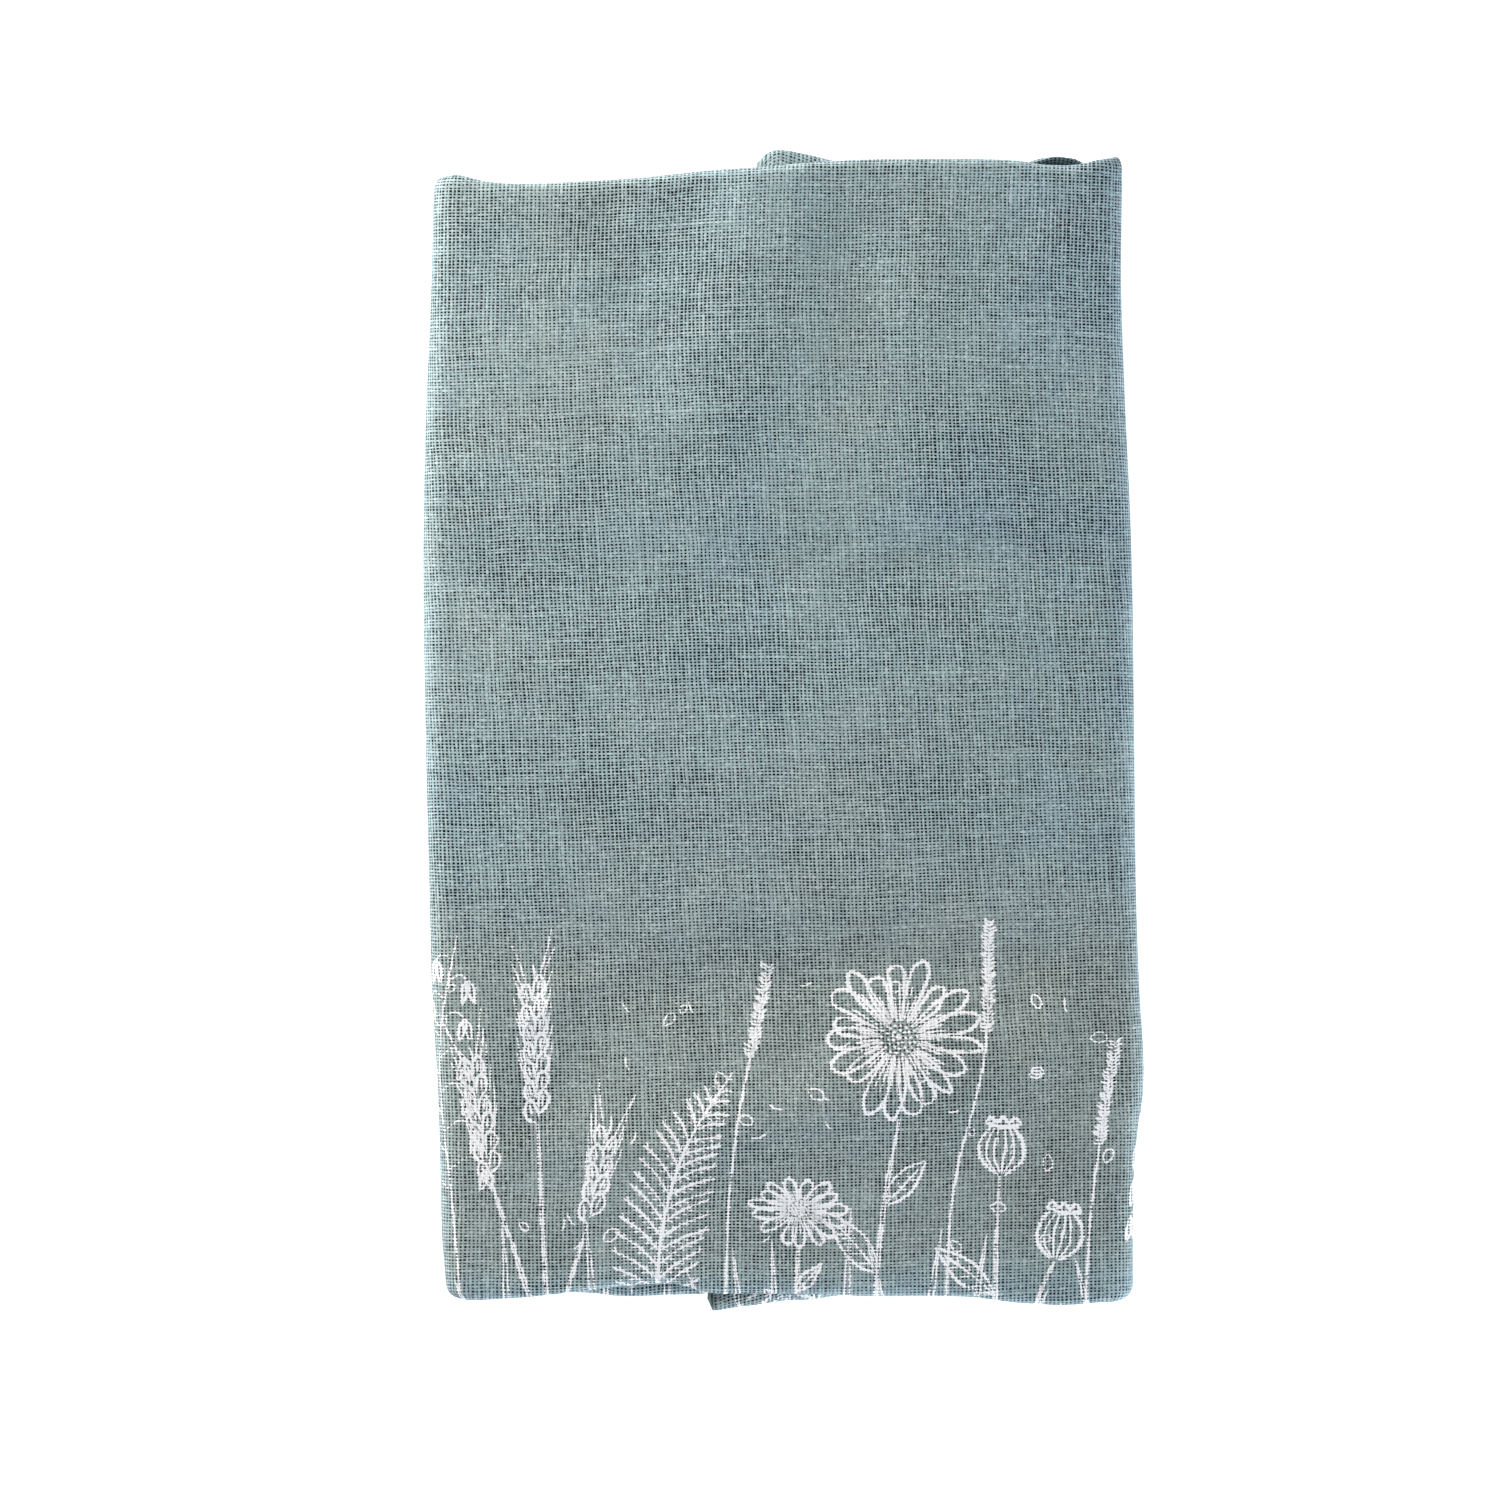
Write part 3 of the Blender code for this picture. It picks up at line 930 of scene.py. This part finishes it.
def draw_daisy(at, radius, petals, tilt=1.0, face=0.0):
    """A daisy's head seen from above, or tilted when tilt is under 1."""
    disc = radius * 0.22

    def on_head(points, degrees):
        flat = turned(points, (0, 0), degrees)
        flat[:, 1] *= tilt
        return turned(flat, at, face)

    for k in range(petals):
        degrees = 360 * (k + HAND.uniform(-0.25, 0.25)) / petals
        tip = radius * HAND.uniform(0.84, 1.08)
        half = radius * HAND.uniform(0.10, 0.14)
        base, waist, brow = disc * 1.1, mix(disc, tip, 0.55), mix(disc, tip, 0.9)
        edge = [(-half * 0.4, base), (-half, waist), (-half * 0.75, brow), (0, tip), (half * 0.75, brow),
                (half, waist), (half * 0.4, base)]
        draw(on_head(shaky(edge, radius * 0.014), degrees), 0.72, 0.9)
        for lean in (-0.35, 0.4):
            reach = mix(base, tip, HAND.uniform(0.35, 0.65))
            draw(on_head([(half * lean * 0.4, base), (half * lean, reach)], degrees), 0.48, 0.72)
    for ring, count in ((1.0, 18), (0.7, 13), (0.4, 8), (0.1, 3)):
        for k in range(count):
            dot = (0.0, disc * ring + HAND.uniform(-0.15, 0.15))
            place = on_head([dot], 360 * (k + 0.5 * ring) / count)[0]
            draw([place, place + (HAND.uniform(-0.4, 0.4), 0.5)], 0.75, 1.0)


def draw_wheat(at, degrees, grains):
    """An ear of wheat, its lowest grain at this place."""
    for k in range(grains):
        way = 1 if k % 2 else -1
        y = k * 1.9
        outer = [(0, y), (way * 1.9, y + 1.3), (way * 2.3, y + 3.2)]
        inner = [(way * 1.3, y + 4.8), (way * 0.4, y + 3.4), (0, y + 1.2)]
        draw_at(at, degrees, outer + inner, 0.68, 0.92, shake=0.14)
        draw_at(at, degrees, [(way * 0.9, y + 1.6), (way * 1.5, y + 3.8)], 0.62, 0.82)
        awn = [(way * 1.3, y + 4.6), (way * 2.5, y + 9), (way * (3.4 + 0.06 * k), y + 14)]
        draw_at(at, degrees, awn, 0.45, 0.66, shake=0.25)
    top = grains * 1.9
    draw_at(at, degrees, [(0, top), (0.5, top + 2.4), (0.2, top + 5)], 0.5, 0.8)


def draw_fern(points, pairs, longest):
    """A frond with paired leaflets that shorten towards its tip."""
    line = smooth_line(points)
    draw(line[::6], 0.8, 0.9)
    for k in range(pairs):
        share = 0.12 + 0.86 * k / pairs
        i = min(int(share * (len(line) - 1)), len(line) - 2)
        lean = math.degrees(math.atan2(line[i + 1][0] - line[i][0], line[i + 1][1] - line[i][1]))
        length = longest * math.sin(math.pi * min(0.2 + 0.84 * share, 1.0)) ** 0.8 + 0.7
        for way in (-1, 1):
            turn = lean + way * (60 - 16 * share) + HAND.uniform(-4, 4)
            rib = [(0, 0), (way * -0.3, length * 0.5), (way * 0.3, length)]
            draw_at(line[i], turn, rib, 0.58, 0.85, shake=0.08)
            for tooth in range(int(length / 1.5)):
                y = 0.9 + 1.5 * tooth
                for slant in (-1, 1):
                    tip = (slant * (1.1 - 0.7 * y / length), y + 0.9)
                    draw_at(line[i], turn, [(0, y), tip], 0.4, 0.68)


def draw_poppy_head(at, degrees):
    """A round seed pod with its crown."""
    for bulge in (-1.0, -0.62, -0.25, 0.15, 0.55, 1.0):
        rib = [(bulge * 0.9, 0), (bulge * 4.2, 3.2), (bulge * 4.0, 7), (bulge * 2.2, 9.6)]
        draw_at(at, degrees, rib, 0.8 if abs(bulge) == 1 else 0.5, 0.85, shake=0.14)
    crown = [(-3.6, 10), (-2.4, 11.4), (-1.2, 10.2), (0, 11.6), (1.2, 10.2), (2.4, 11.4), (3.6, 10)]
    draw_at(at, degrees, crown, 0.8, 0.95, shake=0.1)
    draw_at(at, degrees, [(-3.6, 10), (0, 9.4), (3.6, 10)], 0.9, 0.95)
    for _ in range(9):
        x, y = 3.0 * HAND.uniform(-1, 1), HAND.uniform(2, 8)
        draw_at(at, degrees, [(x, y), (x + 0.2, y + 0.9)], 0.4, 0.65)


def draw_oats(points, branches, size=1.0):
    """Drooping spikelets on fine branches."""
    line = smooth_line(points)
    draw(line[::6], 0.5, 0.68)
    for k in range(branches):
        i = int((0.42 + 0.56 * k / branches) * (len(line) - 1))
        way = 1 if k % 2 else -1
        reach = size * (9 - 5.5 * k / branches)
        x, y = line[i]
        hook = [(x, y), (x + way * reach * 0.6, y + reach * 0.34), (x + way * reach, y + reach * 0.05)]
        draw(hook, 0.4, 0.6)
        for lean in (-16, 14):
            grain = [(0, 0), (0.8, -2.0), (0.3, -4.4), (0, -5.2), (-0.5, -3.6), (-0.7, -1.6), (0, 0)]
            draw_at(hook[-1], lean, grain, 0.65, 0.92, shake=0.08, size=size)


def draw_timothy(points, length):
    """A tall grass with one dense spike of seeds."""
    line = smooth_line(points)
    draw(line[::6], 0.6, 0.8)
    for place in line[-int(length / STROKE_STEP):]:
        for way in (-1, 1):
            seed = (way * HAND.uniform(0.8, 1.7), HAND.uniform(0.4, 1.3))
            draw([place, place + seed], 0.6, 0.95)


GROUND = -128  # where the stems end, behind the lower fold


def draw_grass(x, height, lean):
    """One blade, as two lines that meet at its tip."""
    top = (x + lean, GROUND + height)
    for side in (-0.6, 0.6):
        draw([(x + side, GROUND), (x + side * 0.8 + lean * 0.3, GROUND + height * 0.55), top], 0.42, 0.65)


def scatter_seeds(count, left, right, low, high):
    """Small marks, as of seeds and petals blown off."""
    for _ in range(count):
        at = (HAND.uniform(left, right), HAND.uniform(low, high))
        turn = HAND.uniform(0, 180)
        size = HAND.uniform(0.7, 1.4)
        if HAND.random() < 0.5:
            draw_at(at, turn, [(0, 0), (0.3, 1.2), (0, 2.4)], 0.45, 0.75, size=size)
        else:
            loop = [(0, 0), (0.9, 1.0), (0.5, 2.6), (-0.4, 2.2), (-0.5, 0.9), (0, 0)]
            draw_at(at, turn, loop, 0.4, 0.72, size=size)


# %% The design
def draw_wheat_tuft(x, ears):
    for shift, lean, ear, grains in ears:
        draw_stem([(x, GROUND), (x + shift * 0.4, -112), (x + shift, ear)], 0.3)
        draw_wheat((x + shift, ear), lean, grains)


def draw_daisy_plant(x, head, radius, petals, tilt=1.0, face=0.0):
    head_x, head_y = head
    bend = mix(x, head_x, 0.3)
    draw_stem([(x, GROUND), (bend, mix(GROUND, head_y, 0.45)), (head_x, head_y - radius * tilt * 1.02)])
    draw_daisy(head, radius, petals, tilt, face)
    draw_leaf((mix(x, bend, 0.6), mix(GROUND, head_y, 0.3)), -40, radius, radius * 0.33, 4)
    draw_leaf((bend, mix(GROUND, head_y, 0.5)), 44, radius * 0.8, radius * 0.27, 3)


def draw_poppy_plant(x, head, lean):
    head_x, head_y = head
    draw_stem([(x, GROUND), (mix(x, head_x, 0.2), mix(GROUND, head_y, 0.55)), (head_x, head_y - 0.4)], 0.3)
    draw_poppy_head(head, lean)


def draw_meadow():
    """From the right flap, over the face, to the left flap."""
    draw_wheat_tuft(-46, ((-12, -10, -90, 12), (-3, -2, -78, 14), (7, 12, -98, 9)))
    draw_fern([(-24, GROUND), (-25, -106), (-20, -84), (-9, -66)], 20, 10)
    draw_daisy_plant(18, (23, -61), 15.5, 19)
    draw_daisy_plant(2, (3, -95), 9.5, 15, 0.75, 12)
    draw_poppy_plant(42, (43, -88), 4)
    draw_poppy_plant(49, (54, -105), 10)
    draw_leaf((42, -112), -52, 15, 4.6, 3)
    draw_timothy([(32, GROUND), (34, -90), (40, -64), (41, -38)], 23)
    draw_timothy([(-12, GROUND), (-10, -84), (-3, -47)], 19)
    draw_timothy([(60, GROUND), (61, -98), (66, -62)], 21)
    draw_oats([(78, GROUND), (79, -94), (80, -74), (88, -54)], 12)
    draw_oats([(-63, GROUND), (-66, -94), (-69, -66), (-65, -40)], 13, 0.9)
    draw_wheat_tuft(100, ((-7, -8, -84, 12), (4, 6, -72, 14)))
    draw_daisy_plant(124, (126, -66), 14, 17)
    draw_fern([(146, GROUND), (145, -104), (150, -80)], 15, 8)
    draw_poppy_plant(-84, (-82, -92), -6)
    draw_daisy_plant(-104, (-106, -70), 13.5, 17)
    draw_oats([(-128, GROUND), (-128, -96), (-124, -70)], 11)
    for x in range(-134, 156, 9):
        draw_grass(x + HAND.uniform(-3, 3), HAND.uniform(12, 34), HAND.uniform(-5, 5))
    scatter_seeds(90, -130, 150, -104, -48)


draw_meadow()
print(len(strokes), "pen strokes")


# %% Ink on the cloth
SEARCHES = 3  # a place's share of the way up is found better each time
SMALL_STEP = 0.05
BLUNT_END = 0.45  # how wide a stroke is at its ends, of its full width
TAPER = 1.6  # how fast it widens
RIBBON_MARGIN = 0.75  # of a stroke's width on each side of its middle, where the ink fades out
NEVER_ZERO = 1e-9


def wrap(place, low, high, radius):
    """(place between two folds, angle round them) of a place on the flat cloth."""
    inside = np.clip(place, low, high)
    past = place - inside
    angle = np.clip(past / radius, -math.pi, math.pi)
    return inside - (past - radius * angle), angle


def lay_on_front(across, along):
    """Where flat places of the front panel lie once it is folded."""
    share = share_of_way(along, -HALF_LENGTH, HALF_LENGTH)
    for _ in range(SEARCHES):
        start, angle = wrap(across, *edges_at(share), SIDE_TURN)
        low, high = ends_at(start, angle)
        share = share_of_way(along, low, high)
    place, end_angle = wrap(along, low, high, FRONT_TURN)
    return fold(start, angle, (place - low) / (high - low), end_angle, FRONT_TURN)


def stand_off(across, along, height):
    """Points this far out from the middle of the folded front cloth."""
    to_right = lay_on_front(across + SMALL_STEP, along) - lay_on_front(across - SMALL_STEP, along)
    upwards = lay_on_front(across, along + SMALL_STEP) - lay_on_front(across, along - SMALL_STEP)
    outwards = np.cross(to_right, upwards)
    outwards /= np.linalg.norm(outwards, axis=-1, keepdims=True)
    return lay_on_front(across, along) + outwards * height


def make_print(name):
    """One mesh of all the strokes, each a ribbon of quads."""
    flat, cover, faces = [], [], []
    first = 0
    for line, width, ink_load in strokes:
        way = np.gradient(line, axis=0)
        way /= np.linalg.norm(way, axis=1, keepdims=True) + NEVER_ZERO
        normal = np.column_stack([-way[:, 1], way[:, 0]])
        taper = np.minimum(1, BLUNT_END + TAPER * np.sin(np.linspace(0, math.pi, len(line))))
        half = normal * (RIBBON_MARGIN * width * taper)[:, None]
        flat += [np.stack([line + half, line - half], axis=1).reshape(-1, 2)]
        cover += [np.array([(-1.0, ink_load), (1.0, ink_load)] * len(line))]
        faces += [grid_faces(len(line), 2, first)]
        first += 2 * len(line)
    flat, cover, faces = (np.concatenate(parts) for parts in (flat, cover, faces))
    across, along = flat.T
    points = stand_off(across, along, LINEN_THICKNESS / 2 + INK_RISE)
    made = make_mesh(name, points, faces, {"threads": thread_places(across, along), "stroke": cover})
    made.data.materials.append(ink)
    return made


meadow_print = make_print("meadow_print")
print("print:", len(meadow_print.data.polygons), "faces")

# %% [markdown]
# ## Camera, light and floor
#
# The packet is seen from straight above through a long lens, so that its sides
# stay parallel. One broad soft light stands to the upper left, as a window would,
# a cool white card lies low at the lower right to lift the shaded edges, and the
# pale surroundings fill the rest.

# %% Camera
CAMERA_HEIGHT = 1500
CAMERA_X = -6.7
CAMERA_Y = -3.6
FRAME_WIDTH = 300  # of the picture
OUTLINE_HEIGHT = 5  # of the side folds' outermost line, where the frame is measured
SENSOR = 36
FAR_ENOUGH = 10  # metres

lens = bpy.data.cameras.new("camera")
lens.sensor_width = SENSOR
lens.lens = SENSOR * (CAMERA_HEIGHT - OUTLINE_HEIGHT) / FRAME_WIDTH
lens.clip_end = FAR_ENOUGH
camera = add_object("camera", lens)
camera.location = (CAMERA_X * MM, CAMERA_Y * MM, CAMERA_HEIGHT * MM)
bpy.context.scene.camera = camera
print(f"lens {lens.lens:.1f} mm")

# %% Light
ROOM_LIGHT = 0.20
ROOM_TINT = (0.97, 0.985, 1.0, 1.0)
WINDOW = (-0.72, 0.60, 0.44)  # in metres
WINDOW_SIZE = 0.9
WINDOW_POWER = 21.5
WINDOW_TINT = (1.0, 0.99, 0.975)
CARD = (0.85, -0.75, 0.10)  # it throws light back on the shaded edges
CARD_SIZE = 0.5
CARD_POWER = 24
CARD_TINT = (0.84, 0.92, 1.0)

bpy.context.scene.view_settings.view_transform = "Standard"
room = bpy.data.worlds.new("pale_room")
bpy.context.scene.world = room
set_first_node(room, "Background", {"Color": ROOM_TINT, "Strength": ROOM_LIGHT})


def add_light(name, at, size, power, tint):
    """A square soft light that faces the packet."""
    data = bpy.data.lights.new(name, "AREA")
    data.energy = power
    data.size = size
    data.color = tint
    lamp = add_object(name, data)
    lamp.location = at
    lamp.rotation_euler = (-Vector(at)).to_track_quat("-Z", "Y").to_euler()
    print(name, "of", power, "W")


add_light("window", WINDOW, WINDOW_SIZE, WINDOW_POWER, WINDOW_TINT)
add_light("white_card", CARD, CARD_SIZE, CARD_POWER, CARD_TINT)

# %% Floor
FLOOR_SIZE = 6  # metres
FLOOR_PAINT = (0.93, 0.93, 0.93, 1.0)
FLOOR_ROUGHNESS = 0.9
FLOOR_GLOW = 0.75  # a white table lit from below, as product pictures use
GLOW_TINT = (0.94, 0.97, 1.0, 1.0)

bpy.ops.mesh.primitive_plane_add(size=FLOOR_SIZE)
floor = bpy.context.object
floor.name = "floor"
paint = bpy.data.materials.new("pale_floor")
glow = {"Emission Color": GLOW_TINT, "Emission Strength": FLOOR_GLOW}
set_first_node(paint, "Principled BSDF", {"Base Color": FLOOR_PAINT, "Roughness": FLOOR_ROUGHNESS} | glow)
floor.data.materials.append(paint)
print("floor:", FLOOR_SIZE, "m across")

# %% Attach the cloth and the print, and hide the solids they replace
for piece, node, slot in (
    (front_cloth, "front_panel", "printed_linen"),
    (back_cloth, "back_panel", "plain_linen"),
):
    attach(piece, "root")
    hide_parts(node)
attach(meadow_print, "root")
